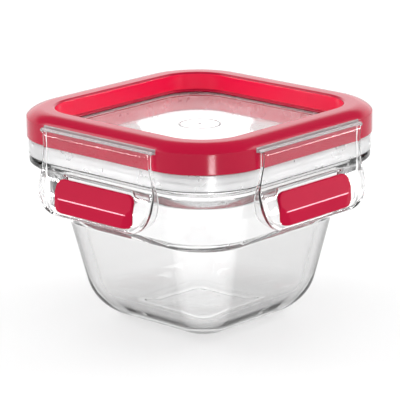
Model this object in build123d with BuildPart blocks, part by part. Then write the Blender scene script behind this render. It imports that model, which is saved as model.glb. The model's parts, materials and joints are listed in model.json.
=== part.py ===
"""Square glass food box with a clip-down lid.

A tapered glass bowl, a clear lid with a red soft frame and a seal, and four clear clips with
red grips that fold out on film hinges. Millimetres, +Z up, origin under the middle of the base.
"""
import os
from math import cos, radians, sin, tan

from build123d import *

# ---- glass bowl: half width, corner radius and height of each ring of the outside
FOOT_HALF = 17.6  # flat foot that the bowl stands on
FOOT_RECESS_HALF = 14.8
FOOT_RECESS = 0.5
HEEL_HALF = 15.3  # where the big round from the foot up into the wall is level
HEEL_CORNER = 3.0
HEEL_RADIUS = 17.5
CORNER_GROWTH = 0.6  # corner radius gained per mm of half width
WALL_TILT = 12.7  # degrees off vertical
WALL_TOP = 36.2  # height where the wall meets the shoulder
SHOULDER_TOP = 40.6
COLLAR_HALF = 43.0
COLLAR_CORNER = 18.8
COLLAR_TOP = 53.0
COLLAR_FLARE = 0.3
BEAD_HALF = 48.4  # the widest ring, which the clips hook under
BEAD_CORNER = 20.9
BEAD_LOW = 57.6
BEAD_HIGH = 59.0
BEAD_EASE = 0.4
RIM_HALF = 47.2
RIM_LOW = 59.6
RIM_TOP = 63.4
RIM_EASE = 1.0
GLASS = 3.7  # wall thickness
FLOOR = 5.0
INNER_HEEL_RADIUS = 12.5
INNER_FOOT_CORNER = 4.0
HEEL_STEPS = 6  # rings that draw each round

# ---- clear lid
LID_HALF = 49.5
LID_CORNER = 24.2
SKIRT_LOW = 60.5
SKIRT_WALL = 1.3
SKIRT_TOP = 66.6
PANEL_HALF = 47.0
PANEL_TOP = 69.4
PANEL_THICK = 1.9
PLUG_HALF = 38.8  # outside of the wall that dips into the bowl
PLUG_CORNER = 17.5
PLUG_WALL = 1.2
PLUG_LOW = 61.6
SHELF_LOW = 65.4  # roof of the channel that holds the seal
MARK_RADIUS = 7.5  # plain ring and gate point at the middle of the window
MARK_WIDTH = 0.7
MARK_HEIGHT = 0.15
GATE_RADIUS = 0.6

# ---- red frame
FRAME_HALF = 50.0
FRAME_CORNER = 24.7
FRAME_TOP = 76.6
FRAME_SIDE_TOP = 73.9
CROWN_HALF = 44.0  # where the crown starts to fall away
CROWN_RADIUS = 8.0
CROWN_END = 49.3  # where the crown meets the edge of the side
FRAME_INNER = 40.1
INNER_EDGE = 0.9
FRAME_FOOT = 1.2
FRAME_FOOT_HEIGHT = 0.8

# ---- seal
SEAL_INNER = 40.9
SEAL_OUTER = 46.9
SEAL_LOW = 63.6
SEAL_LIP = 0.9
SEAL_LIP_INSET = 1.8

# ---- clips: distance out from the middle of the box, and height
HINGE_OUT = 51.1
HINGE_HIGH = 72.95
BARREL_RADIUS = 0.55
STRIP_OUT = 50.1
STRIP_IN = 48.3
STRIP_LOW = 72.3
STRIP_HIGH = 74.3
STRIP_EASE = 0.3  # fall of the strip's top towards its outer edge
STRIP_EASE_OUT = 49.4
CLIP_TOP_HALF = 26.4  # flange along the hinge
CLIP_FLANGE_LOW = 72.5
CLIP_WAIST_HALF = 25.0
CLIP_WAIST_HIGH = 70.5
CLIP_WIDE_HALF = 26.6
CLIP_WIDE_HIGH = 54.5
CLIP_LOW = 44.6
CLIP_CORNER = 9.5
CLIP_PLATE = 1.2
CLIP_CHEEK = 1.2
BEND_OUT = 52.5
BEND_HIGH = 71.2
HOLLOW_OUT = 51.4
HOLLOW_HIGH = 59.5
CREASE_OUT = 54.1
CREASE_HIGH = 50.7
TOE_OUT = 54.7
TOE_RIM = 1.3
TOE_DEPTH = 2.2  # plate thickness below the crease
TRAY_TOP = 58.6  # shallow tray that the grip stands in
TRAY_FULL = 56.8  # height below which the tray is at its full depth
TRAY_DEPTH = 0.8
TRAY_RIM = 1.3
FILM_TOP = ((50.8, 73.5), (51.9, 73.1))  # upper edge of the clip, round the film
FILM_LOW = (50.65, 72.6)
CHEEK_TOP = (50.6, 72.3)
CHEEK_BACK = ((48.9, 50.0), (48.5, 55.0), (49.0, 59.0), (50.0, 62.0), (50.35, 66.0))
HOOK_HALF = 17.0
HOOK_SECTION = ((46.3, 55.1), (49.3, 57.8), (50.9, 58.4), (51.6, 54.0), (50.6, 53.2), (46.7, 54.3))

# ---- grips
GRIP_TOP_HALF = 17.9
GRIP_LOW_HALF = 18.8
GRIP_TOP = 57.2
GRIP_LOW = 45.9
GRIP_CORNER = 2.8
GRIP_DEPTH = 1.0
GRIP_PROUD = 0.25

SIDES = (("front", 0), ("right", 90), ("back", 180), ("left", 270))
FAR = 100.0  # longer than any cut needs

os.makedirs("parts", exist_ok=True)


def write(piece, name):
    """Label one finished piece and write it."""
    piece.label = name
    export_step(piece, f"parts/{name}.step")


def ring_sketch(half, corner, height):
    """A square with round corners, flat at the given height."""
    with BuildSketch(Plane.XY.offset(height)) as ring:
        RectangleRounded(2 * half, 2 * half, corner)
    return ring.sketch


def band_sketch(outer, outer_corner, inner, inner_corner, height):
    """The band between two round-cornered squares, flat at the given height."""
    with BuildSketch(Plane.XY.offset(height)) as band:
        RectangleRounded(2 * outer, 2 * outer, outer_corner)
        RectangleRounded(2 * inner, 2 * inner, inner_corner, mode=Mode.SUBTRACT)
    return band.sketch


def heel_rings(start_half, radius, lift, base_corner):
    """Rings of the round between the floor and the tilted wall, from the floor up."""
    rings = []
    for step in range(HEEL_STEPS + 1):
        angle = radians((90 - WALL_TILT) * step / HEEL_STEPS)
        half = start_half + radius * sin(angle)
        corner = base_corner + CORNER_GROWTH * (half - start_half)
        rings.append((half, corner, lift + radius * (1 - cos(angle))))
    return rings


def stack(rings):
    """Loft through neighbouring rings, one straight band at a time."""
    for (low_half, low_corner, low), (high_half, high_corner, high) in zip(rings, rings[1:]):
        bottom = ring_sketch(low_half, low_corner, low)
        top = ring_sketch(high_half, high_corner, high)
        loft(sections=[bottom, top], ruled=True)


# ---- glass_bowl -------------------------------------------------------------------------
foot_corner = HEEL_CORNER + CORNER_GROWTH * (FOOT_HALF - HEEL_HALF)
outer_heel = heel_rings(HEEL_HALF, HEEL_RADIUS, 0.0, HEEL_CORNER)
outer_heel[0] = (FOOT_HALF, foot_corner, 0.0)
heel_half, _, heel_high = outer_heel[-1]
wall_top_half = heel_half + (WALL_TOP - heel_high) * tan(radians(WALL_TILT))
wall_top_corner = HEEL_CORNER + CORNER_GROWTH * (wall_top_half - HEEL_HALF)
rim_corner = BEAD_CORNER - BEAD_HALF + RIM_HALF
outside = outer_heel + [
    (wall_top_half, wall_top_corner, WALL_TOP),
    (COLLAR_HALF, COLLAR_CORNER, SHOULDER_TOP),
    (COLLAR_HALF + COLLAR_FLARE, COLLAR_CORNER + COLLAR_FLARE, COLLAR_TOP),
    (BEAD_HALF - BEAD_EASE, BEAD_CORNER - BEAD_EASE, BEAD_LOW),
    (BEAD_HALF, BEAD_CORNER, BEAD_LOW + BEAD_EASE),
    (BEAD_HALF, BEAD_CORNER, BEAD_HIGH),
    (RIM_HALF, rim_corner, RIM_LOW),
    (RIM_HALF, rim_corner, RIM_TOP - RIM_EASE),
    (RIM_HALF - RIM_EASE, rim_corner - RIM_EASE, RIM_TOP),
]

# the round inside meets a wall that runs parallel to the outside one
wall_cos = cos(radians(WALL_TILT))
inner_start = HEEL_HALF + (HEEL_RADIUS - GLASS - INNER_HEEL_RADIUS) / wall_cos
inner_heel = heel_rings(inner_start, INNER_HEEL_RADIUS, FLOOR, INNER_FOOT_CORNER)
inner_half, _, inner_high = inner_heel[-1]
mouth = inner_half + (RIM_TOP - RIM_EASE - inner_high) * tan(radians(WALL_TILT))
mouth_corner = INNER_FOOT_CORNER + CORNER_GROWTH * (mouth - inner_start)
inside = inner_heel + [
    (mouth, mouth_corner, RIM_TOP - RIM_EASE),
    (mouth + RIM_EASE, mouth_corner + RIM_EASE, RIM_TOP),
    (mouth + RIM_EASE, mouth_corner + RIM_EASE, RIM_TOP + RIM_EASE),
]

with BuildPart() as bowl_inside:
    stack(inside)

with BuildPart() as glass_bowl:
    stack(outside)
    add(bowl_inside.part, mode=Mode.SUBTRACT)
    # shallow recess that leaves a flat foot ring
    with BuildSketch(Plane.XY):
        RectangleRounded(2 * FOOT_RECESS_HALF, 2 * FOOT_RECESS_HALF, HEEL_CORNER)
    extrude(amount=FOOT_RECESS, mode=Mode.SUBTRACT)
write(glass_bowl.part, "glass_bowl")

# ---- lid_panel: window, plug, seal channel and skirt in one clear moulding ------------------
panel_corner = LID_CORNER - LID_HALF + PANEL_HALF
hole_half = PLUG_HALF - PLUG_WALL
hole_corner = PLUG_CORNER - PLUG_WALL
skirt_hole = LID_HALF - SKIRT_WALL
panel_low = PANEL_TOP - PANEL_THICK
with BuildPart() as lid_panel:
    extrude(ring_sketch(PANEL_HALF, panel_corner, panel_low), amount=PANEL_THICK)
    # roof of the seal channel, and the step above it
    extrude(band_sketch(LID_HALF, LID_CORNER, hole_half, hole_corner, SHELF_LOW),
            amount=SKIRT_TOP - SHELF_LOW)
    extrude(band_sketch(PANEL_HALF, panel_corner, hole_half, hole_corner, SKIRT_TOP),
            amount=panel_low - SKIRT_TOP)
    # skirt outside the rim, plug wall inside it
    extrude(band_sketch(LID_HALF, LID_CORNER, skirt_hole, LID_CORNER - SKIRT_WALL, SKIRT_LOW),
            amount=SHELF_LOW - SKIRT_LOW)
    extrude(band_sketch(PLUG_HALF, PLUG_CORNER, hole_half, hole_corner, PLUG_LOW),
            amount=SHELF_LOW - PLUG_LOW)
    # plain ring and gate point on the window
    with BuildSketch(Plane.XY.offset(PANEL_TOP)):
        Circle(MARK_RADIUS)
        Circle(MARK_RADIUS - MARK_WIDTH, mode=Mode.SUBTRACT)
        Circle(GATE_RADIUS)
    extrude(amount=MARK_HEIGHT)
write(lid_panel.part, "lid_panel")

# ---- lid_seal: a ring that fills the channel, with a lip towards the glass -------------------
seal_corner = LID_CORNER - LID_HALF + SEAL_OUTER
seal_inner_corner = LID_CORNER - LID_HALF + SEAL_INNER
with BuildPart() as lid_seal:
    extrude(band_sketch(SEAL_OUTER, seal_corner, SEAL_INNER, seal_inner_corner, SEAL_LOW + SEAL_LIP),
            amount=SHELF_LOW - SEAL_LOW - SEAL_LIP)
    extrude(band_sketch(SEAL_OUTER - SEAL_LIP_INSET, seal_corner - SEAL_LIP_INSET,
                        SEAL_INNER + SEAL_LIP_INSET, seal_inner_corner + SEAL_LIP_INSET, SEAL_LOW),
            amount=SEAL_LIP)
write(lid_seal.part, "lid_seal")

# ---- lid_frame: one section carried round the lid ----------------------------------------
frame_path_corner = FRAME_CORNER - FRAME_HALF + CROWN_HALF
frame_path_run = CROWN_HALF - frame_path_corner
crown_end_high = FRAME_TOP - CROWN_RADIUS + (CROWN_RADIUS**2 - (CROWN_END - CROWN_HALF) ** 2) ** 0.5


def side_planes(turn):
    """Planes of one side: its section (outwards, up) and its face (along, up)."""
    out = Vector(0, -1, 0).rotate(Axis.Z, turn)
    along = Vector(1, 0, 0).rotate(Axis.Z, turn)
    section = Plane(origin=(0, 0, 0), x_dir=out, z_dir=-along)
    face = Plane(origin=(0, 0, 0), x_dir=along, z_dir=out)
    return section, face


front_section, front_face = side_planes(0)
with BuildPart() as lid_frame:
    with BuildLine() as frame_path:
        for turn in range(0, 360, 90):
            start = Vector(-frame_path_run, -CROWN_HALF, FRAME_TOP).rotate(Axis.Z, turn)
            end = Vector(frame_path_run, -CROWN_HALF, FRAME_TOP).rotate(Axis.Z, turn)
            centre = Vector(frame_path_run, -frame_path_run, FRAME_TOP).rotate(Axis.Z, turn)
            Line(start, end)
            CenterArc(centre, frame_path_corner, turn - 90, 90)
    with BuildSketch(Plane(origin=(-frame_path_run, 0, 0), x_dir=front_section.x_dir,
                           z_dir=front_section.z_dir)):
        with BuildLine():
            Polyline((FRAME_HALF, FRAME_SIDE_TOP), (FRAME_HALF, SKIRT_TOP), (PANEL_HALF, SKIRT_TOP),
                     (PANEL_HALF, PANEL_TOP), (FRAME_INNER - FRAME_FOOT, PANEL_TOP),
                     (FRAME_INNER - FRAME_FOOT, PANEL_TOP + FRAME_FOOT_HEIGHT),
                     (FRAME_INNER, PANEL_TOP + FRAME_FOOT_HEIGHT),
                     (FRAME_INNER, FRAME_TOP - INNER_EDGE))
            RadiusArc((FRAME_INNER, FRAME_TOP - INNER_EDGE), (FRAME_INNER + INNER_EDGE, FRAME_TOP),
                      INNER_EDGE)
            Line((FRAME_INNER + INNER_EDGE, FRAME_TOP), (CROWN_HALF, FRAME_TOP))
            RadiusArc((CROWN_HALF, FRAME_TOP), (CROWN_END, crown_end_high), CROWN_RADIUS)
            Line((CROWN_END, crown_end_high), (FRAME_HALF, FRAME_SIDE_TOP))
        make_face()
    sweep(path=frame_path.line)
    # pockets that hold the hinge strips
    for side_name, turn in SIDES:
        section, face = side_planes(turn)
        with BuildSketch(section):
            with Locations(((STRIP_IN + FAR) / 2, (STRIP_LOW + STRIP_HIGH) / 2)):
                Rectangle(FAR - STRIP_IN, STRIP_HIGH - STRIP_LOW)
        extrude(amount=CLIP_TOP_HALF, both=True, mode=Mode.SUBTRACT)
write(lid_frame.part, "lid_frame")

# ---- hinge strips, clips and grips, one set on each side ------------------------------------
outer_line = [(BEND_OUT, BEND_HIGH), (HOLLOW_OUT, HOLLOW_HIGH), (CREASE_OUT, CREASE_HIGH),
              (TOE_OUT, CLIP_LOW)]


def clip_outline(inset):
    """Front outline of a clip: slim at the hinge, wide below, with round lower corners."""
    top = CLIP_TOP_HALF - inset
    waist = CLIP_WAIST_HALF - inset
    wide = CLIP_WIDE_HALF - inset
    low = CLIP_LOW + inset
    flange = CLIP_FLANGE_LOW + inset
    with BuildSketch() as outline:
        Polygon((-wide, low), (wide, low), (wide, CLIP_WIDE_HIGH), (waist, CLIP_WAIST_HIGH),
                (waist, flange), (top, flange), (top, STRIP_HIGH), (-top, STRIP_HIGH), (-top, flange),
                (-waist, flange), (-waist, CLIP_WAIST_HIGH), (-wide, CLIP_WIDE_HIGH), align=None)
        fillet(outline.vertices().group_by(Axis.Y)[0], CLIP_CORNER - inset)
    return outline.sketch


def grip_outline():
    """Front outline of a grip pad: a little wider at the bottom, corners rounded."""
    with BuildSketch() as outline:
        Polygon((-GRIP_LOW_HALF, GRIP_LOW), (GRIP_LOW_HALF, GRIP_LOW), (GRIP_TOP_HALF, GRIP_TOP),
                (-GRIP_TOP_HALF, GRIP_TOP), align=None)
        fillet(outline.vertices(), GRIP_CORNER)
    return outline.sketch


def outer_at(height):
    """Distance out of the clip's outer face below the hollow, at one height."""
    if height > CREASE_HIGH:
        share = (height - CREASE_HIGH) / (HOLLOW_HIGH - CREASE_HIGH)
        return CREASE_OUT + (HOLLOW_OUT - CREASE_OUT) * share
    share = (height - CLIP_LOW) / (CREASE_HIGH - CLIP_LOW)
    return TOE_OUT + (CREASE_OUT - TOE_OUT) * share


for side_name, turn in SIDES:
    section, face = side_planes(turn)

    # strip on the lid side of the film hinge
    with BuildPart() as hinge_strip:
        with BuildSketch(section):
            Polygon((STRIP_IN, STRIP_LOW), (STRIP_OUT, STRIP_LOW), (STRIP_OUT, STRIP_HIGH - STRIP_EASE),
                    (STRIP_EASE_OUT, STRIP_HIGH), (STRIP_IN, STRIP_HIGH), align=None)
        extrude(amount=CLIP_TOP_HALF, both=True)
    write(hinge_strip.part, f"hinge_strip_{side_name}")

    # rim of the tray: cheeks and toe, cut to the outline
    with BuildPart() as clip_rim:
        with BuildSketch(section):
            with BuildLine():
                Polyline(*FILM_TOP, *outer_line, (TOE_OUT - TOE_RIM, CLIP_LOW), *CHEEK_BACK, CHEEK_TOP,
                         FILM_TOP[0])
            make_face()
        extrude(amount=FAR / 2, both=True)
        with BuildSketch(face):
            add(clip_outline(0.0))
        extrude(amount=FAR, mode=Mode.INTERSECT)
        with BuildSketch(face):
            add(clip_outline(CLIP_CHEEK))
        extrude(amount=FAR, mode=Mode.SUBTRACT)

    # plate, hinge barrel and hook, then the rim
    with BuildPart() as clip:
        with BuildSketch(section):
            with BuildLine():
                Polyline(*FILM_TOP, *outer_line, (TOE_OUT - TOE_DEPTH, CLIP_LOW),
                         (CREASE_OUT - TOE_DEPTH, CREASE_HIGH), (HOLLOW_OUT - CLIP_PLATE, HOLLOW_HIGH),
                         (BEND_OUT - CLIP_PLATE, BEND_HIGH), FILM_LOW, FILM_TOP[0])
            make_face()
        extrude(amount=FAR / 2, both=True)
        with BuildSketch(face):
            add(clip_outline(0.0))
        extrude(amount=FAR, mode=Mode.INTERSECT)
        add(clip_rim.part)
        with BuildSketch(section):
            with Locations((HINGE_OUT, HINGE_HIGH)):
                Circle(BARREL_RADIUS)
        extrude(amount=CLIP_TOP_HALF, both=True)
        with BuildSketch(section):
            Polygon(*HOOK_SECTION, align=None)
        extrude(amount=HOOK_HALF, both=True)
        # shallow tray round the grip
        with BuildSketch(section):
            Polygon((outer_at(TRAY_TOP), TRAY_TOP), (FAR, TRAY_TOP), (FAR, CLIP_LOW),
                    (TOE_OUT - TRAY_DEPTH, CLIP_LOW), (CREASE_OUT - TRAY_DEPTH, CREASE_HIGH),
                    (outer_at(TRAY_FULL) - TRAY_DEPTH, TRAY_FULL), align=None)
        tray = extrude(amount=FAR / 2, both=True, mode=Mode.PRIVATE)
        with BuildSketch(face):
            add(clip_outline(TRAY_RIM))
        tray_prism = extrude(amount=FAR, mode=Mode.PRIVATE)
        add(tray & tray_prism, mode=Mode.SUBTRACT)
        # pocket for the grip
        with BuildSketch(section):
            Polygon((outer_at(GRIP_TOP) - GRIP_DEPTH, GRIP_TOP), (FAR, GRIP_TOP), (FAR, GRIP_LOW),
                    (outer_at(GRIP_LOW) - GRIP_DEPTH, GRIP_LOW),
                    (CREASE_OUT - GRIP_DEPTH, CREASE_HIGH), align=None)
        pocket = extrude(amount=FAR / 2, both=True, mode=Mode.PRIVATE)
        with BuildSketch(face):
            add(grip_outline())
        pocket_prism = extrude(amount=FAR, mode=Mode.PRIVATE)
        add(pocket & pocket_prism, mode=Mode.SUBTRACT)
    write(clip.part, f"clip_{side_name}")

    # grip pad, creased along its length and hipped at both ends
    with BuildPart() as grip:
        with BuildSketch(section):
            Polygon((outer_at(GRIP_TOP) - GRIP_DEPTH, GRIP_TOP), (outer_at(GRIP_TOP), GRIP_TOP),
                    (CREASE_OUT + GRIP_PROUD, CREASE_HIGH), (outer_at(GRIP_LOW) + GRIP_PROUD, GRIP_LOW),
                    (outer_at(GRIP_LOW) - GRIP_DEPTH, GRIP_LOW),
                    (CREASE_OUT - GRIP_DEPTH, CREASE_HIGH), align=None)
        extrude(amount=FAR / 2, both=True)
        with BuildSketch(face):
            add(grip_outline())
        extrude(amount=FAR, mode=Mode.INTERSECT)
    write(grip.part, f"grip_{side_name}")

if __name__ == "__main__":
    brim = bowl_inside.part & Pos(0, 0, RIM_TOP / 2) * Box(FAR, FAR, RIM_TOP)
    print(f"volume to the brim {brim.volume / 1000:.0f} ml")
    print(f"glass {glass_bowl.part.volume / 1000:.1f} cm3")
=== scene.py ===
"""Looks of the square glass food box: glass bowl, clear lid with a red frame, four clips with grips."""

import json
import math

import bmesh
import bpy
from mathutils import Matrix, Quaternion, Vector

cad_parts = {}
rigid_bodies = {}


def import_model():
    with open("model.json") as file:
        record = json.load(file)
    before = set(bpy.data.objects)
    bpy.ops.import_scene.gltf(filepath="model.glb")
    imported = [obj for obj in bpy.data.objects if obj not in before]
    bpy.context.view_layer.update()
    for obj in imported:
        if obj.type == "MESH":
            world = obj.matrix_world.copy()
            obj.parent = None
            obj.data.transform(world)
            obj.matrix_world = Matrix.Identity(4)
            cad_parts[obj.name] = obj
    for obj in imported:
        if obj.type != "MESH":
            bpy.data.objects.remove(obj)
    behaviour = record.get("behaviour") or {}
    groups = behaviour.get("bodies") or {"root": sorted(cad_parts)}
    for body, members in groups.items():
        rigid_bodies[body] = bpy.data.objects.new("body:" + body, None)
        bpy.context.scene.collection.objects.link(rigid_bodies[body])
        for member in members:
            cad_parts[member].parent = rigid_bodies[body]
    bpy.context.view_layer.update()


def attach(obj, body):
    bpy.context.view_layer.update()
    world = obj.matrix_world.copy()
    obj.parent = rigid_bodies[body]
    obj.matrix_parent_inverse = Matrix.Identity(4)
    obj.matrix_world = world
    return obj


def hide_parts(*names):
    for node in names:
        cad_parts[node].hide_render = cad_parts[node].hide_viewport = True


MM = 0.001
SIDES = (("front", 0), ("right", 90), ("back", 180), ("left", 270))

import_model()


# ---------------------------------------------------------------- camera
CAMERA_AZIMUTH = math.radians(42.98)
CAMERA_ELEVATION = math.radians(15.52)
CAMERA_DISTANCE = 0.8994
CAMERA_TARGET_HIGH = 0.04173
CAMERA_TARGET_SIDE = -0.0002
CAMERA_ROLL = math.radians(-0.63)
CAMERA_LENS = 229.5  # on the default 36 mm sensor

camera_data = bpy.data.cameras.new("camera")
camera = bpy.data.objects.new("camera", camera_data)
bpy.context.scene.collection.objects.link(camera)
camera_back = Vector((
    math.sin(CAMERA_AZIMUTH) * math.cos(CAMERA_ELEVATION),
    -math.cos(CAMERA_AZIMUTH) * math.cos(CAMERA_ELEVATION),
    math.sin(CAMERA_ELEVATION),
))
camera_right = Vector((math.cos(CAMERA_AZIMUTH), math.sin(CAMERA_AZIMUTH), 0.0))
camera_target = Vector((0.0, 0.0, CAMERA_TARGET_HIGH)) + CAMERA_TARGET_SIDE * camera_right
camera.rotation_mode = "QUATERNION"
camera.location = camera_target + CAMERA_DISTANCE * camera_back
camera.rotation_quaternion = (
    (-camera_back).to_track_quat("-Z", "Y") @ Quaternion((0.0, 0.0, 1.0), CAMERA_ROLL)
)
camera_data.lens = CAMERA_LENS
camera_data.clip_start = 0.05
camera_data.clip_end = 20.0
bpy.context.scene.camera = camera


# ---------------------------------------------------------------- mesh helpers
def make_object(name, verts, faces):
    """A smooth-shaded object from points in millimetres."""
    mesh = bpy.data.meshes.new(name)
    mesh.from_pydata([Vector(v) * MM for v in verts], [], faces)
    mesh.validate()
    shell = bmesh.new()
    shell.from_mesh(mesh)
    if shell.calc_volume(signed=True) < 0:
        bmesh.ops.reverse_faces(shell, faces=shell.faces)
    shell.to_mesh(mesh)
    shell.free()
    mesh.shade_smooth()
    obj = bpy.data.objects.new(name, mesh)
    bpy.context.scene.collection.objects.link(obj)
    weigh = obj.modifiers.new("even_normals", "WEIGHTED_NORMAL")
    weigh.keep_sharp = True
    return obj


def fillet_line(points, steps=5):
    """Round the corners of an open line. Each point is (x, y, radius, *extra); extras are blended."""
    out = [(*points[0][:2], *points[0][3:])]
    for before, here, after in zip(points, points[1:], points[2:]):
        radius = here[2]
        a = Vector(before[:2]) - Vector(here[:2])
        b = Vector(after[:2]) - Vector(here[:2])
        if radius <= 0:
            out.append((*here[:2], *here[3:]))
            continue
        half_turn = (math.pi - a.angle(b)) / 2
        reach = radius * math.tan(half_turn)
        reach = min(reach, 0.49 * a.length, 0.49 * b.length)
        radius = reach / math.tan(half_turn)
        corner = Vector(here[:2])
        centre = corner + (a.normalized() + b.normalized()).normalized() * math.hypot(radius, reach)
        start = corner + a.normalized() * reach
        end = corner + b.normalized() * reach
        first, last = start - centre, end - centre
        swing = first.angle_signed(last)
        start_extra = [h + (p - h) * reach / a.length for h, p in zip(here[3:], before[3:])]
        end_extra = [h + (p - h) * reach / b.length for h, p in zip(here[3:], after[3:])]
        for step in range(steps + 1):
            share = step / steps
            turn = -swing * share
            x = centre.x + first.x * math.cos(turn) - first.y * math.sin(turn)
            y = centre.y + first.x * math.sin(turn) + first.y * math.cos(turn)
            extra = [s + (e - s) * share for s, e in zip(start_extra, end_extra)]
            out.append((x, y, *extra))
    out.append((*points[-1][:2], *points[-1][3:]))
    return out


def round_square(half, corner, height, arc_steps, side_steps):
    """One ring: a square with round corners, as points in order."""
    corner = min(corner, half)
    run = half - corner
    ring = []
    for quarter in range(4):
        turn = quarter * math.pi / 2
        cos_t, sin_t = round(math.cos(turn)), round(math.sin(turn))
        local = [(run + corner * math.cos(a), run + corner * math.sin(a))
                 for a in (math.pi / 2 * s / arc_steps for s in range(arc_steps + 1))]
        local += [(run - 2 * run * s / side_steps, half) for s in range(1, side_steps)]
        ring += [(x * cos_t - y * sin_t, x * sin_t + y * cos_t, height) for x, y in local]
    return ring


def skin(rings, wrap):
    """Quads between rings of equally many points. The first and last are joined when wrapped, and
    capped when not."""
    count = len(rings[0])
    verts = [point for ring in rings for point in ring]
    faces = []
    pairs = len(rings) if wrap else len(rings) - 1
    for low in range(pairs):
        high = (low + 1) % len(rings)
        for i in range(count):
            j = (i + 1) % count
            faces.append((low * count + i, low * count + j, high * count + j, high * count + i))
    if not wrap:
        faces.append(tuple(reversed(range(count))))
        faces.append(tuple((len(rings) - 1) * count + i for i in range(count)))
    return verts, faces


def turned_square(name, line, wrap, arc_steps=16, side_steps=8):
    """A solid whose section (half width, height, corner radius) is carried round a square."""
    rings = [round_square(half, corner, high, arc_steps, side_steps) for half, high, corner in line]
    verts, faces = skin(rings, wrap)
    return make_object(name, verts, faces)


def slab(rows_at, columns, layers):
    """A plate seen from the front: rows_at(inset) gives (height, half width) rows; each layer is
    (inset, out function of (along, height)). The first and last layers are filled, and the layers
    between them are rings round the edge. Points are (along, height, out)."""
    verts, faces = [], []
    shares = [-1 + 2 * c / columns for c in range(columns + 1)]

    def grid(inset, out):
        start = len(verts)
        rows = rows_at(inset)
        for high, half in rows:
            verts.extend((share * half, high, out(share * half, high)) for share in shares)
        width, tall = len(shares), len(rows)
        at = [[start + r * width + c for c in range(width)] for r in range(tall)]
        quads = [(at[r][c], at[r][c + 1], at[r + 1][c + 1], at[r + 1][c])
                 for r in range(tall - 1) for c in range(width - 1)]
        rim = at[0] + [at[r][-1] for r in range(1, tall)] + at[-1][-2::-1]
        rim += [at[r][0] for r in range(tall - 2, 0, -1)]
        return quads, rim

    def ring(inset, out):
        start = len(verts)
        rows = rows_at(inset)
        edge = [(share * rows[0][1], rows[0][0]) for share in shares]
        edge += [(half, high) for high, half in rows[1:]]
        edge += [(share * rows[-1][1], rows[-1][0]) for share in shares[-2::-1]]
        edge += [(-half, high) for high, half in rows[-2:0:-1]]
        verts.extend((x, z, out(x, z)) for x, z in edge)
        return list(range(start, start + len(edge)))

    quads, rim = grid(*layers[0])
    faces += quads
    for inset, out in layers[1:-1]:
        after = ring(inset, out)
        faces += [(rim[i - 1], after[i - 1], after[i], rim[i]) for i in range(len(rim))]
        rim = after
    quads, after = grid(*layers[-1])
    faces += [(rim[i - 1], after[i - 1], after[i], rim[i]) for i in range(len(rim))]
    faces += [tuple(reversed(quad)) for quad in quads]
    return verts, faces


def side_object(name, verts, faces, turn):
    """Place (along, height, out) points on one side of the box."""
    spin = Matrix.Rotation(math.radians(turn), 3, "Z")
    placed = [spin @ Vector((along, -out, high)) for along, high, out in verts]
    return make_object(name, placed, faces)


def line_value(line):
    """A function that reads a value off a line of (height, value) points, in any order."""
    points = sorted((high, value) for high, value in line)

    def at(high):
        if high <= points[0][0]:
            return points[0][1]
        for (low_h, low_v), (high_h, high_v) in zip(points, points[1:]):
            if high <= high_h:
                share = (high - low_h) / max(high_h - low_h, 1e-9)
                return low_v + (high_v - low_v) * share
        return points[-1][1]

    return at


# ---------------------------------------------------------------- glass bowl
# Sections are lists of (half width, height, fillet radius, corner radius in plan), in millimetres.
GLASS = 3.7
WALL_TILT = math.radians(12.7)
HEEL_HALF, HEEL_CORNER, HEEL_RADIUS = 15.3, 3.0, 17.5
INNER_HEEL_RADIUS, INNER_CORNER, FLOOR = 12.5, 4.0, 5.0
FOOT_HALF = 17.6
FOOT_EDGE = 0.8  # from the end of the flat foot to the start of the heel
WALL_TOP_HIGH = 36.2
MOUTH_HIGH = 62.4
CORNER_GROWTH = 0.6  # growth of the plan's corner radius with its half width
HEEL_STEPS = 14


def heel(start_half, radius, lift, corner, from_half):
    """The big round between floor and wall, from a half width up to the tilted wall."""
    first = math.asin((from_half - start_half) / radius)
    last = math.pi / 2 - WALL_TILT
    points = []
    for step in range(HEEL_STEPS + 1):
        angle = first + (last - first) * step / HEEL_STEPS
        half = start_half + radius * math.sin(angle)
        points.append((half, lift + radius * (1 - math.cos(angle)), 0.0,
                       corner + CORNER_GROWTH * (half - start_half)))
    return points


outer_heel = heel(HEEL_HALF, HEEL_RADIUS, 0.0, HEEL_CORNER, FOOT_HALF + FOOT_EDGE)
inner_start = HEEL_HALF + (HEEL_RADIUS - GLASS - INNER_HEEL_RADIUS) / math.cos(WALL_TILT)
inner_heel = heel(inner_start, INNER_HEEL_RADIUS, FLOOR, INNER_CORNER, inner_start)
wall_low_half, wall_low_high = outer_heel[-1][:2]
wall_top_half = wall_low_half + (WALL_TOP_HIGH - wall_low_high) * math.tan(WALL_TILT)
wall_top_corner = HEEL_CORNER + CORNER_GROWTH * (wall_top_half - HEEL_HALF)
inner_low_half, inner_low_high = inner_heel[-1][:2]
mouth_half = inner_low_half + (MOUTH_HIGH - inner_low_high) * math.tan(WALL_TILT)
mouth_corner = INNER_CORNER + CORNER_GROWTH * (mouth_half - inner_start)

glass_section = [(10.0, 0.5, 0, 2.0), (14.6, 0.5, 0.3, 3.0), (15.2, 0.0, 0.3, 3.3),
                 (FOOT_HALF, 0.0, 1.5, 4.4)]
glass_section += outer_heel
glass_section += [
    (wall_top_half, WALL_TOP_HIGH, 0.9, wall_top_corner),
    (43.0, 40.6, 0.8, 20.0),
    (43.3, 53.0, 1.5, 20.2),
    (48.0, 57.5, 0.5, 20.6),
    (48.4, 58.1, 0.3, 20.9),
    (48.4, 59.1, 0.4, 20.9),
    (47.2, 59.7, 0.3, 19.7),
    (47.2, 63.4, 1.4, 19.7),
    (mouth_half + 0.9, 63.4, 0.8, mouth_corner + 0.9),
    (mouth_half, MOUTH_HIGH, 0.8, mouth_corner),
]
glass_section += reversed(inner_heel)
glass_section += [(10.0, FLOOR, 0, 1.6)]
glass_line = fillet_line(glass_section)

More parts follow.
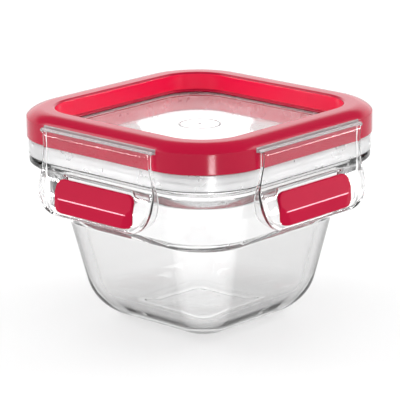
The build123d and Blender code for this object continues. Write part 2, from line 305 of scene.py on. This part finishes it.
glass_bowl = turned_square("glass_bowl_body", glass_line, wrap=False, arc_steps=20, side_steps=14)
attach(glass_bowl, "bowl")
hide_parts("glass_bowl")


# ---------------------------------------------------------------- lid
lid_section = [
    (10.0, 69.4, 0, 5.0), (46.9, 69.4, 0.3, 21.7), (46.9, 66.6, 0.2, 21.7), (49.5, 66.6, 0.4, 24.2),
    (49.5, 60.5, 0.35, 24.2), (48.2, 60.5, 0.35, 22.9), (48.2, 65.4, 0.3, 22.9),
    (38.8, 65.4, 0.3, 17.5), (38.8, 61.6, 0.4, 17.5), (37.6, 61.6, 0.4, 16.3),
    (37.6, 67.5, 0.6, 16.3), (10.0, 67.5, 0, 4.0),
]
lid_panel = turned_square("lid_window", fillet_line(lid_section, 4), wrap=False)
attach(lid_panel, "lid")
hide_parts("lid_panel")


def round_mark(name, line, steps):
    """A solid of revolution on the window from (radius, height) points."""
    rings = [[(r * math.cos(a), r * math.sin(a), z) for a in (math.tau * s / steps for s in range(steps))]
             for r, z in line]
    verts, faces = skin(rings, True)
    return make_object(name, verts, faces)


window_ring = round_mark("lid_window_ring", [(6.8, 69.36), (6.8, 69.5), (6.9, 69.55), (7.4, 69.55),
                                             (7.5, 69.5), (7.5, 69.36)], 96)
gate_point = round_mark("lid_window_gate", [(0.05, 69.36), (0.05, 69.55), (0.5, 69.55), (0.6, 69.5),
                                            (0.6, 69.36)], 24)
for mark in (window_ring, gate_point):
    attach(mark, "lid")
    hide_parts("lid_panel")

# the crown is an arc of radius 8 whose middle stands 44 out and 68.6 high
frame_section = [
    (50.0, 70.0, 0, 24.7), (50.0, 73.9, 0.9, 24.7),
    *((44.0 + 8.0 * math.sin(a), 68.6 + 8.0 * math.cos(a), 0.0,
       18.9 + 7.4 * math.sin(a)) for a in (math.radians(d) for d in (40, 34, 28, 22, 16, 10, 5, 0))),
    (40.1, 76.6, 0.9, 15.3), (40.1, 70.2, 0.3, 15.3), (38.9, 70.1, 0.3, 14.1),
    (38.9, 69.35, 0, 14.1), (46.0, 69.35, 0, 20.7), (46.0, 67.5, 0, 20.7), (47.8, 66.62, 0, 22.5),
    (50.0, 66.62, 0.4, 24.7), (50.0, 70.0, 0, 24.7),
]
frame_line = fillet_line(frame_section)[:-1]
lid_frame = turned_square("lid_frame_body", frame_line, wrap=True, arc_steps=20, side_steps=8)
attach(lid_frame, "lid")
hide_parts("lid_frame")

seal_section = [
    (41.0, 65.38, 0, 16.8), (41.0, 64.5, 0.4, 16.8), (42.7, 63.65, 0.6, 18.5), (45.1, 63.65, 0.6, 20.0),
    (46.8, 64.5, 0.4, 21.3), (46.8, 65.38, 0, 21.3),
]
lid_seal = turned_square("lid_seal_ring", fillet_line(seal_section, 3), wrap=True)
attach(lid_seal, "lid")
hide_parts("lid_seal")


# ---------------------------------------------------------------- clips
CLIP_LOW, CLIP_CORNER, CLIP_CORNER_ROWS = 44.6, 9.5, 14
CLIP_WIDE, CLIP_WIDE_HIGH = 26.6, 54.5
CLIP_WAIST = 25.0
CLIP_TOP, CLIP_TOP_HIGH = 26.4, 73.5
FLANGE_LOW = 72.5
EDGE = 0.3
CHEEK = 1.2
HOOK_HALF, HOOK_LOW, HOOK_TOP = 17.0, 52.9, 58.4
HOOK_FADE = 0.6  # over which the hook's ends fall to the plate
TRAY_DEPTH, TRAY_TOP, TRAY_RIM = 0.9, 58.6, 1.1
TRAY_SIDE, TRAY_SLOPE = 0.9, 2.2  # widths over which the tray sinks, at its sides and at its top
ROW_STEP, ROW_LEAST = 0.8, 0.06

# lines of (height, out, fillet radius)
outer_line = fillet_line([
    (73.5, 50.95, 0), (73.35, 51.3, 0.1), (73.05, 51.95, 0.25), (71.2, 52.5, 1.5), (59.5, 51.4, 9.0),
    (50.7, 54.1, 0.5), (44.6, 54.7, 0),
], 5)
inner_line = fillet_line([
    (73.5, 50.75, 0), (72.4, 50.7, 0.2), (71.0, 51.25, 0.8), (59.5, 50.15, 4.0), (57.0, 50.2, 1.5),
    (50.7, 51.9, 0.8), (44.6, 52.6, 0),
], 4)
back_line = [(73.5, 50.7), (72.3, 50.45), (66.0, 50.35), (62.0, 49.95), (59.0, 49.1), (55.0, 48.5),
             (50.0, 48.9), (44.6, 53.2)]
hook_line = fillet_line([
    (HOOK_TOP, 50.9, 0), (57.8, 49.4, 0.3), (55.1, 46.4, 0.3), (54.3, 46.7, 0.3), (53.2, 50.6, 0.3),
    (HOOK_LOW, 51.4, 0),
], 3)
outer_face = line_value(outer_line)
inner_face = line_value(inner_line)
back_face = line_value(back_line)
hook_face = line_value(hook_line)


def smooth(value, low, high):
    """0 below low, 1 above high and an easy curve between them."""
    share = min(max((value - low) / (high - low), 0.0), 1.0)
    return share * share * (3 - 2 * share)


def edge_distance(along, high):
    """How far a point of the clip's face is inside its outline."""
    side = waist_line(high) if high > CLIP_WIDE_HIGH else CLIP_WIDE
    inside = side - abs(along)
    if high < CLIP_LOW + CLIP_CORNER:
        inside = min(inside, high - CLIP_LOW)
        dx = abs(along) - (CLIP_WIDE - CLIP_CORNER)
        dz = CLIP_LOW + CLIP_CORNER - high
        if dx > 0:
            inside = CLIP_CORNER - math.hypot(dx, dz)
    return inside


def tray_face(along, high):
    """Outer face of the plate, sunk round the grip."""
    sink = smooth(edge_distance(along, high), TRAY_RIM, TRAY_RIM + TRAY_SIDE)
    sink *= 1 - smooth(high, TRAY_TOP - TRAY_SLOPE, TRAY_TOP)
    return outer_face(high) - TRAY_DEPTH * sink


def inner_with_hook(along, high):
    """The plate's inner face, with the hook standing out of it."""
    plate = inner_face(high)
    fade = min(max((HOOK_HALF - abs(along)) / HOOK_FADE, 0.0), 1.0)
    if not HOOK_LOW < high < HOOK_TOP or fade == 0.0:
        return plate
    return plate + (min(hook_face(high), plate) - plate) * fade


waist_line = line_value(fillet_line([
    (CLIP_WIDE_HIGH - 0.4, CLIP_WIDE, 0), (58.0, CLIP_WIDE, 8.0), (68.0, CLIP_WAIST, 8.0),
    (72.1, CLIP_WAIST + 0.1, 0.3), (FLANGE_LOW + 0.1, CLIP_TOP, 0.4), (CLIP_TOP_HIGH, CLIP_TOP, 0),
], 6))
straight_rows = sorted({round(h, 3) for h, _ in outer_line + inner_line + hook_line
                        if CLIP_WIDE_HIGH < h < CLIP_TOP_HIGH - 0.04}
                       | {CLIP_WIDE_HIGH + ROW_STEP * i for i in range(1, 20)}
                       | {72.0, 72.15, 72.3, 72.45, 72.6, 72.75})
straight_rows = [h for h, after in zip(straight_rows, straight_rows[1:] + [math.inf])
                 if after - h > ROW_LEAST]


def clip_rows(inset):
    """Rows of the clip's outline, from its round lower corners up to the hinge."""
    radius = CLIP_CORNER - inset
    centre_high = CLIP_LOW + CLIP_CORNER
    rows = []
    for step in range(CLIP_CORNER_ROWS + 1):
        angle = math.pi / 2 * step / CLIP_CORNER_ROWS
        half = CLIP_WIDE - CLIP_CORNER + radius * math.sin(angle)
        rows.append((centre_high - radius * math.cos(angle), half))
    top = CLIP_TOP_HIGH - inset
    for high in straight_rows:
        high = min(high, top - 0.01 * (74 - high))
        rows.append((high, waist_line(high) - inset))
    rows.append((top, CLIP_TOP - inset))
    return rows


def offset_face(face, depth):
    return lambda along, high: face(high) - depth


def clip_layers():
    """Layers from the front face, round the edge and the cheek, to the inner face."""
    layers = [(EDGE, tray_face)]
    for step in range(1, 5):
        angle = math.pi / 2 * step / 4
        layers.append((EDGE * (1 - math.sin(angle)),
                       offset_face(outer_face, EDGE * (1 - math.cos(angle)))))
    for share in (0.35, 0.7):
        layers.append((0.0, lambda along, high, s=share:
                       (outer_face(high) - EDGE) * (1 - s) + (back_face(high) + EDGE) * s))
    for step in range(5):
        angle = math.pi * step / 4
        layers.append((CHEEK / 2 * (1 - math.cos(angle)),
                       lambda along, high, lift=EDGE * (1 - math.sin(angle)):
                       min(back_face(high) + lift, inner_face(high) - 0.02)))
    layers.append((CHEEK, lambda along, high: inner_face(high) - 0.01))
    layers.append((CHEEK + 0.25, inner_with_hook))
    return layers


CLIP_COLUMNS = 78
clip_verts, clip_faces = slab(clip_rows, CLIP_COLUMNS, clip_layers())


# ---------------------------------------------------------------- grips
GRIP_LOW, GRIP_TOP, GRIP_CORNER = 45.9, 57.2, 2.8
GRIP_LOW_HALF, GRIP_TOP_HALF = 18.8, 17.9
CREASE_HIGH, CREASE_OUT = 50.7, 54.35
GRIP_TOP_OUT = 52.1
LOWER_FALL = 0.09  # slope of the face below the crease
HIP = 2.8
HIP_FALL = 0.30  # slope of the face at each end
GRIP_ROUND = 0.3
CREASE_SOFT = 0.035
GRIP_COLUMNS, GRIP_ROWS, CORNER_ROWS = 110, 26, 8


def soft_low(values, width):
    """The lowest of some values, rounded where two are close."""
    low = min(values)
    return low - width * math.log(sum(math.exp((low - v) / width) for v in values))


def grip_face(along, high):
    """Creased front of a grip: one slope above, one below and a hip at each end."""
    upper = CREASE_OUT + (high - CREASE_HIGH) * (GRIP_TOP_OUT - CREASE_OUT) / (GRIP_TOP - CREASE_HIGH)
    lower = CREASE_OUT + (CREASE_HIGH - high) * LOWER_FALL
    hip = CREASE_OUT - HIP_FALL * (abs(along) - (GRIP_LOW_HALF - HIP - GRIP_ROUND))
    return soft_low((upper, lower, hip), CREASE_SOFT)


def grip_rows(inset):
    """Rows of the grip's outline: wider below, all corners round."""
    radius = GRIP_CORNER - inset
    rows = []

    def half_at(high):
        share = (high - GRIP_LOW) / (GRIP_TOP - GRIP_LOW)
        return GRIP_LOW_HALF + (GRIP_TOP_HALF - GRIP_LOW_HALF) * share - inset

    for step in range(CORNER_ROWS + 1):
        angle = math.pi / 2 * step / CORNER_ROWS
        high = GRIP_LOW + GRIP_CORNER - radius * math.cos(angle)
        rows.append((high, half_at(high) - radius * (1 - math.sin(angle))))
    low, top = GRIP_LOW + GRIP_CORNER, GRIP_TOP - GRIP_CORNER
    middle_highs = [low + (top - low) * s / GRIP_ROWS for s in range(1, GRIP_ROWS)]
    rows += [(high, half_at(high)) for high in middle_highs]
    for step in range(CORNER_ROWS + 1):
        angle = math.pi / 2 * step / CORNER_ROWS
        high = GRIP_TOP - GRIP_CORNER + radius * math.sin(angle)
        rows.append((high, half_at(high) - radius * (1 - math.cos(angle))))
    return rows


def grip_layers():
    """Layers from the creased face, round the edge, to the back that sits in the tray."""
    layers = [(GRIP_ROUND, grip_face)]
    for step in range(1, 5):
        angle = math.pi / 2 * step / 4
        layers.append((GRIP_ROUND * (1 - math.sin(angle)),
                       lambda along, high, fall=GRIP_ROUND * (1 - math.cos(angle)):
                       grip_face(along, high) - fall))
    layers.append((0.0, lambda along, high: outer_face(high) - 1.2))
    layers.append((0.1, lambda along, high: outer_face(high) - 1.3))
    return layers


grip_verts, grip_faces = slab(grip_rows, GRIP_COLUMNS, grip_layers())


# ---------------------------------------------------------------- hinge strips
STRIP_HALF, BARREL_HALF = 26.4, 26.2
END_RUN, END_SHRINK = 0.25, 0.82  # the softened ends of a bar
HINGE_OUT, HINGE_HIGH, BARREL_RADIUS, BARREL_STEPS = 51.1, 72.95, 0.55, 16


def box_section(section, half):
    """A bar along one side with a filleted section of (out, height) points, closed at the ends."""
    count = len(section)
    stations = (-half, -half + END_RUN, half - END_RUN, half)
    middle_out = sum(o for o, _ in section) / count
    middle_high = sum(h for _, h in section) / count
    verts = []
    for along in stations:
        shrink = END_SHRINK if abs(along) == half else 1.0
        verts += [(along, middle_high + (h - middle_high) * shrink,
                   middle_out + (o - middle_out) * shrink) for o, h in section]
    faces = []
    for s in range(len(stations) - 1):
        for i in range(count):
            j = (i + 1) % count
            faces.append((s * count + i, s * count + j, (s + 1) * count + j, (s + 1) * count + i))
    faces.append(tuple(reversed(range(count))))
    faces.append(tuple((len(stations) - 1) * count + i for i in range(count)))
    return verts, faces


strip_section = [(o, h) for o, h in fillet_line([
    (48.4, 73.0, 0), (48.4, 74.25, 0), (49.45, 74.25, 0.15), (50.1, 74.0, 0.25), (50.1, 72.3, 0.2),
    (48.4, 72.3, 0), (48.4, 73.0, 0)], 4)][:-1]
barrel_section = [(HINGE_OUT + BARREL_RADIUS * math.cos(a), HINGE_HIGH + BARREL_RADIUS * math.sin(a))
                  for a in (math.tau * step / BARREL_STEPS for step in range(BARREL_STEPS))]

for side, turn in SIDES:
    strip = side_object(f"hinge_strip_{side}_bar", *box_section(strip_section, STRIP_HALF), turn)
    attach(strip, "lid")
    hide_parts(f"hinge_strip_{side}")
    barrel = side_object(f"hinge_barrel_{side}_film", *box_section(barrel_section, BARREL_HALF), turn)
    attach(barrel, f"clip_{side}")
    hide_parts(f"clip_{side}")
    clip = side_object(f"clip_{side}_tray", clip_verts, clip_faces, turn)
    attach(clip, f"clip_{side}")
    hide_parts(f"clip_{side}")
    grip = side_object(f"grip_{side}_pad", grip_verts, grip_faces, turn)
    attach(grip, f"clip_{side}")
    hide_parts(f"grip_{side}")


# ---------------------------------------------------------------- materials
def new_material(name):
    material = bpy.data.materials.new(name)
    material.use_nodes = True
    tree = material.node_tree
    return material, tree, tree.nodes["Principled BSDF"]


def noise_node(tree, scale, detail):
    """A value from noise that is fixed to the piece."""
    place = tree.nodes.new("ShaderNodeTexCoord")
    node = tree.nodes.new("ShaderNodeTexNoise")
    node.inputs["Scale"].default_value = scale
    node.inputs["Detail"].default_value = detail
    tree.links.new(place.outputs["Object"], node.inputs["Vector"])
    return node.outputs["Fac"]


def map_node(tree, source, low, high):
    """Spread the middle of a noise over a range."""
    node = tree.nodes.new("ShaderNodeMapRange")
    node.inputs["From Min"].default_value = 0.3
    node.inputs["From Max"].default_value = 0.7
    node.inputs["To Min"].default_value = low
    node.inputs["To Max"].default_value = high
    tree.links.new(source, node.inputs["Value"])
    return node.outputs["Result"]


def add_bump(tree, shader, source, distance):
    bump = tree.nodes.new("ShaderNodeBump")
    bump.inputs["Distance"].default_value = distance
    tree.links.new(source, bump.inputs["Height"])
    tree.links.new(bump.outputs["Normal"], shader.inputs["Normal"])


def clear_material(name, color, ior, transmission, roughness, wave_scale, wave_height):
    """Clear or milky moulding: a slow wave in the surface and a varying polish."""
    material, tree, shader = new_material(name)
    shader.inputs["Base Color"].default_value = (*color, 1.0)
    shader.inputs["Transmission Weight"].default_value = transmission
    shader.inputs["IOR"].default_value = ior
    wave = noise_node(tree, wave_scale, 3.0)
    tree.links.new(map_node(tree, wave, *roughness), shader.inputs["Roughness"])
    add_bump(tree, shader, wave, wave_height)
    return material


def gray_ramp(tree, source, stops, curve="LINEAR"):
    """A ramp of grays over a value, from (position, gray) stops."""
    ramp = tree.nodes.new("ShaderNodeValToRGB")
    ramp.color_ramp.interpolation = curve
    while len(ramp.color_ramp.elements) < len(stops):
        ramp.color_ramp.elements.new(0.5)
    for element, (position, value) in zip(ramp.color_ramp.elements, stops):
        element.position = position
        element.color = (value, value, value, 1.0)
    tree.links.new(source, ramp.inputs["Fac"])
    return ramp.outputs["Color"]


PAINTED_SHADE_HIGH = 60 * MM


def paint_edge_shade(material, stops, where=None):
    """Paint shade on the moulding where its surface turns away from the viewer: a dark outline that
    stands in for the darker surroundings seen through the glass edges. The second list says how much of
    the painted shade holds at each height, given as a share of the height constant above."""
    tree = material.node_tree
    facing = tree.nodes.new("ShaderNodeLayerWeight")
    facing.inputs["Blend"].default_value = 0.5
    color = gray_ramp(tree, facing.outputs["Facing"], stops)
    if where is not None:
        place = tree.nodes.new("ShaderNodeTexCoord")
        split = tree.nodes.new("ShaderNodeSeparateXYZ")
        tree.links.new(place.outputs["Object"], split.inputs["Vector"])
        share = tree.nodes.new("ShaderNodeMath")
        share.operation = "DIVIDE"
        share.inputs[1].default_value = PAINTED_SHADE_HIGH
        tree.links.new(split.outputs["Z"], share.inputs[0])
        mix = tree.nodes.new("ShaderNodeMix")
        mix.data_type = "RGBA"
        mix.inputs["A"].default_value = (0.99, 0.995, 0.995, 1.0)
        tree.links.new(gray_ramp(tree, share.outputs["Value"], where), mix.inputs["Factor"])
        tree.links.new(color, mix.inputs["B"])
        color = mix.outputs["Result"]
    tree.links.new(color, tree.nodes["Principled BSDF"].inputs["Base Color"])


def red_material(name, color, roughness, specular, grain_height):
    """Soft red plastic: slight cloudiness, fine grain and a satin polish that varies."""
    material, tree, shader = new_material(name)
    ramp = tree.nodes.new("ShaderNodeValToRGB")
    ramp.color_ramp.elements[0].position = 0.35
    ramp.color_ramp.elements[1].position = 0.65
    ramp.color_ramp.elements[0].color = (*(c * 0.95 for c in color), 1.0)
    ramp.color_ramp.elements[1].color = (*color, 1.0)
    tree.links.new(noise_node(tree, 40.0, 3.0), ramp.inputs["Fac"])
    tree.links.new(ramp.outputs["Color"], shader.inputs["Base Color"])
    shader.inputs["Specular IOR Level"].default_value = specular
    grain = noise_node(tree, 2500.0, 2.0)
    tree.links.new(map_node(tree, grain, *roughness), shader.inputs["Roughness"])
    add_bump(tree, shader, grain, grain_height)
    return material


# color, index, transmission, (least, most) roughness, scale and height of the wave
GLASS_INDEX = 1.38
GLASS_CLEAR = clear_material("pressed_glass", (0.985, 0.995, 0.99), GLASS_INDEX, 1.0, (0.0, 0.015),
                             60.0, 3e-5)
# painted shade: the inner faces turn a little grey where they face away from the viewer
paint_edge_shade(GLASS_CLEAR, ((0.30, 0.995), (1.0, 0.85)))
GLASS_SKIN = clear_material("pressed_glass_outside", (0.98, 0.99, 0.99), GLASS_INDEX, 1.0, (0.0, 0.015),
                            60.0, 3e-5)
# painted shade: a dark outline on the outer faces where they turn away from the viewer, weaker at some
# heights
PAINTED_OUTLINE_SHADE = ((0.24, 0.995), (0.33, 0.84), (0.41, 0.58), (0.50, 0.46), (0.62, 0.30), (0.76, 0.12),
                (1.0, 0.05))
PAINTED_SHADE_BY_HEIGHT = ((0.03, 0.0), (0.12, 1.0), (0.59, 1.0), (0.61, 0.3), (0.67, 0.3), (0.69, 0.8),
                 (0.90, 0.8), (0.94, 1.0))
paint_edge_shade(GLASS_SKIN, PAINTED_OUTLINE_SHADE, PAINTED_SHADE_BY_HEIGHT)
GLASS_FOOT = clear_material("pressed_glass_foot", (0.99, 1.0, 0.995), GLASS_INDEX, 1.0, (0.2, 0.5),
                            90.0, 3e-4)
WINDOW_CLEAR = clear_material("clear_lid", (0.97, 0.975, 0.98), 1.49, 1.0, (0.02, 0.05), 80.0, 1e-5)
SKIRT_MILKY = clear_material("milky_lid", (0.84, 0.84, 0.845), 1.49, 0.6, (0.25, 0.35), 150.0, 1e-5)
CLIP_CLEAR = clear_material("clear_clip", (1.0, 1.0, 1.0), 1.33, 1.0, (0.0, 0.02), 120.0, 1e-5)
FILM_MILKY = clear_material("hinge_film", (0.70, 0.66, 0.67), 1.45, 0.6, (0.15, 0.25), 200.0, 1e-5)
# painted shadow: a near-black band along the skirt's lower edge for the shaded gap above the bowl's bead
SKIRT_PAINTED_SHADOW = clear_material("milky_lid_painted_gap_shadow", (0.05, 0.05, 0.05), 1.49, 0.2, (0.25, 0.35), 150.0, 1e-5)
SEAL_MILKY = clear_material("seal_silicone", (0.9, 0.9, 0.9), 1.41, 0.4, (0.3, 0.45), 300.0, 1e-5)
# color, (least, most) roughness, specular level and height of the grain
FRAME_RED = red_material("red_frame", (0.42, 0.005, 0.034), (0.13, 0.17), 0.2, 1e-6)
# painted light: a brighter copy of the frame's red for the upright inner walls, standing in for light
# shining through the soft red
PAINTED_LIGHT_WALL_RED = red_material("red_frame_wall_painted_light", (0.92, 0.008, 0.060), (0.13, 0.17), 0.2, 1e-6)
GRIP_RED = red_material("red_grip", (0.46, 0.007, 0.040), (0.28, 0.34), 0.03, 2e-6)
# painted highlight: a pale pink for the thin line along each pad's crease
GRIP_PAINTED_HIGHLIGHT = red_material("red_grip_painted_crease_highlight", (0.85, 0.22, 0.31), (0.24, 0.30), 0.3, 2e-6)


def paint(obj, *materials):
    """Give a piece its materials. Faces start with the first."""
    obj.data.materials.clear()
    for material in materials:
        obj.data.materials.append(material)


FOOT_PAINT_TOP, SKIN_PAINT_TOP = 0.6 * MM, 62.0 * MM
paint(glass_bowl, GLASS_CLEAR, GLASS_SKIN, GLASS_FOOT)
for face in glass_bowl.data.polygons:
    middle, normal = face.center, face.normal
    outward = normal.x * middle.x + normal.y * middle.y > 0
    if middle.z < FOOT_PAINT_TOP and abs(normal.z) > 0.9:
        face.material_index = 2
    elif outward and middle.z < SKIN_PAINT_TOP and normal.z < 0.9:
        face.material_index = 1

SKIRT_INSIDE, SKIRT_TOP, PLUG_TOP, GAP_SHADOW_TOP = 39 * MM, 66.55 * MM, 65.35 * MM, 60.95 * MM
paint(lid_panel, WINDOW_CLEAR, SKIRT_MILKY, SKIRT_PAINTED_SHADOW)
for face in lid_panel.data.polygons:
    middle = face.center
    in_skirt = middle.z < SKIRT_TOP and max(abs(middle.x), abs(middle.y)) > SKIRT_INSIDE
    face.material_index = int(in_skirt or middle.z < PLUG_TOP)
    # painted shadow: skirt faces below this height take the dark material
    if middle.z < GAP_SHADOW_TOP:
        face.material_index = 2

# painted light: the upright inner walls between these heights take the brighter red
WALL_LOW, WALL_TOP = 70.3 * MM, 75.9 * MM
paint(lid_frame, FRAME_RED, PAINTED_LIGHT_WALL_RED)
for face in lid_frame.data.polygons:
    flat = abs(face.normal.z) < 0.3
    inward = face.normal.x * face.center.x + face.normal.y * face.center.y < 0
    face.material_index = int(flat and inward and WALL_LOW < face.center.z < WALL_TOP)

paint(lid_seal, SEAL_MILKY)

# painted highlight: the pale line along the crease of each pad, standing in for light caught on the
# crease
PAD_HIGHLIGHT_HALF_HIGH, PAD_HIGHLIGHT_HALF_LONG, PAD_HIGHLIGHT_OUT = 0.16 * MM, 16.3 * MM, 54.0 * MM
lid_panel.visible_shadow = False
for obj in bpy.data.objects:
    if obj.name.endswith("_tray"):
        paint(obj, CLIP_CLEAR)
        obj.visible_shadow = False
    elif obj.name.startswith("lid_window_"):
        paint(obj, WINDOW_CLEAR)
    elif obj.name.endswith(("_bar", "_film")):
        paint(obj, FILM_MILKY)
    elif obj.name.endswith("_pad"):
        paint(obj, GRIP_RED, GRIP_PAINTED_HIGHLIGHT)
        for face in obj.data.polygons:
            middle = face.center
            along = middle.y if "left" in obj.name or "right" in obj.name else middle.x
            # painted highlight: faces on the crease line take the pale pink
            highlighted = abs(middle.z - CREASE_HIGH * MM) < PAD_HIGHLIGHT_HALF_HIGH and abs(along) < PAD_HIGHLIGHT_HALF_LONG
            face.material_index = int(highlighted and max(abs(middle.x), abs(middle.y)) > PAD_HIGHLIGHT_OUT)


# ---------------------------------------------------------------- floor, sky and lights
FLOOR_SIZE, FLOOR_GRAY, FLOOR_GLOW = 6.0, 0.45, 0.475
SKY_STOPS = ((0.02, 0.70), (0.12, 1.0), (0.40, 1.0), (0.56, 0.15), (1.0, 0.08))
SKY_STRENGTH = 1.6
LIGHT_AIM = 0.06


def make_floor():
    """A plain pale floor that glows a little, so that it stays near white round the box."""
    size = FLOOR_SIZE
    floor_mesh = bpy.data.meshes.new("floor")
    floor_mesh.from_pydata([(-size, -size, 0), (size, -size, 0), (size, size, 0), (-size, size, 0)],
                           [], [(0, 1, 2, 3)])
    floor = bpy.data.objects.new("floor", floor_mesh)
    bpy.context.scene.collection.objects.link(floor)
    material, tree, shader = new_material("pale_floor")
    shader.inputs["Base Color"].default_value = (FLOOR_GRAY, FLOOR_GRAY, FLOOR_GRAY, 1.0)
    shader.inputs["Emission Color"].default_value = (1.0, 1.0, 1.0, 1.0)
    shader.inputs["Emission Strength"].default_value = FLOOR_GLOW
    shader.inputs["Roughness"].default_value = 0.7
    shader.inputs["Specular IOR Level"].default_value = 0.1
    floor_mesh.materials.append(material)


make_floor()

world = bpy.data.worlds.new("sky")
bpy.context.scene.world = world
world.use_nodes = True
sky = world.node_tree
background = sky.nodes["Background"]
place = sky.nodes.new("ShaderNodeTexCoord")
split = sky.nodes.new("ShaderNodeSeparateXYZ")
sky.links.new(place.outputs["Generated"], split.inputs["Vector"])
sky.links.new(gray_ramp(sky, split.outputs["Z"], SKY_STOPS, "EASE"), background.inputs["Color"])
background.inputs["Strength"].default_value = SKY_STRENGTH


def softbox(name, azimuth, elevation, distance, size, power, glossy=True, clear=True, soft=True):
    """A rectangular light aimed at the box; azimuth 0 is the front, 90 the right."""
    a, e = math.radians(azimuth), math.radians(elevation)
    light = bpy.data.lights.new(name, "AREA")
    light.shape = "RECTANGLE"
    light.size, light.size_y = size
    light.energy = power
    obj = bpy.data.objects.new(name, light)
    obj.location = (distance * math.sin(a) * math.cos(e), -distance * math.cos(a) * math.cos(e),
                    LIGHT_AIM + distance * math.sin(e))
    obj.rotation_mode = "QUATERNION"
    obj.rotation_quaternion = (Vector((0, 0, LIGHT_AIM)) - obj.location).to_track_quat("-Z", "Y")
    obj.visible_camera = False
    obj.visible_glossy = glossy
    obj.visible_transmission = clear
    obj.visible_diffuse = soft
    bpy.context.scene.collection.objects.link(obj)


softbox("top_light", 180, 88, 1.4, (3.2, 3.2), 32.0, glossy=False)
softbox("left_light", -60, 40, 1.2, (0.5, 0.35), 3.0)
softbox("right_light", 146, 40, 1.2, (0.5, 0.35), 3.0)
# lights that show only in reflections, as highlights along edges and on the front corner
softbox("left_strip", -41, 3, 1.0, (0.30, 0.14), 3.6, clear=False, soft=False)
softbox("right_strip", 137, 3, 1.0, (0.30, 0.14), 3.6, clear=False, soft=False)
softbox("corner_strip", 53, -10, 0.23, (0.030, 0.020), 0.07, clear=False, soft=False)

scene = bpy.context.scene
scene.view_settings.view_transform = "Standard"
scene.cycles.max_bounces = 32
scene.cycles.transmission_bounces = 32
scene.cycles.transparent_max_bounces = 16
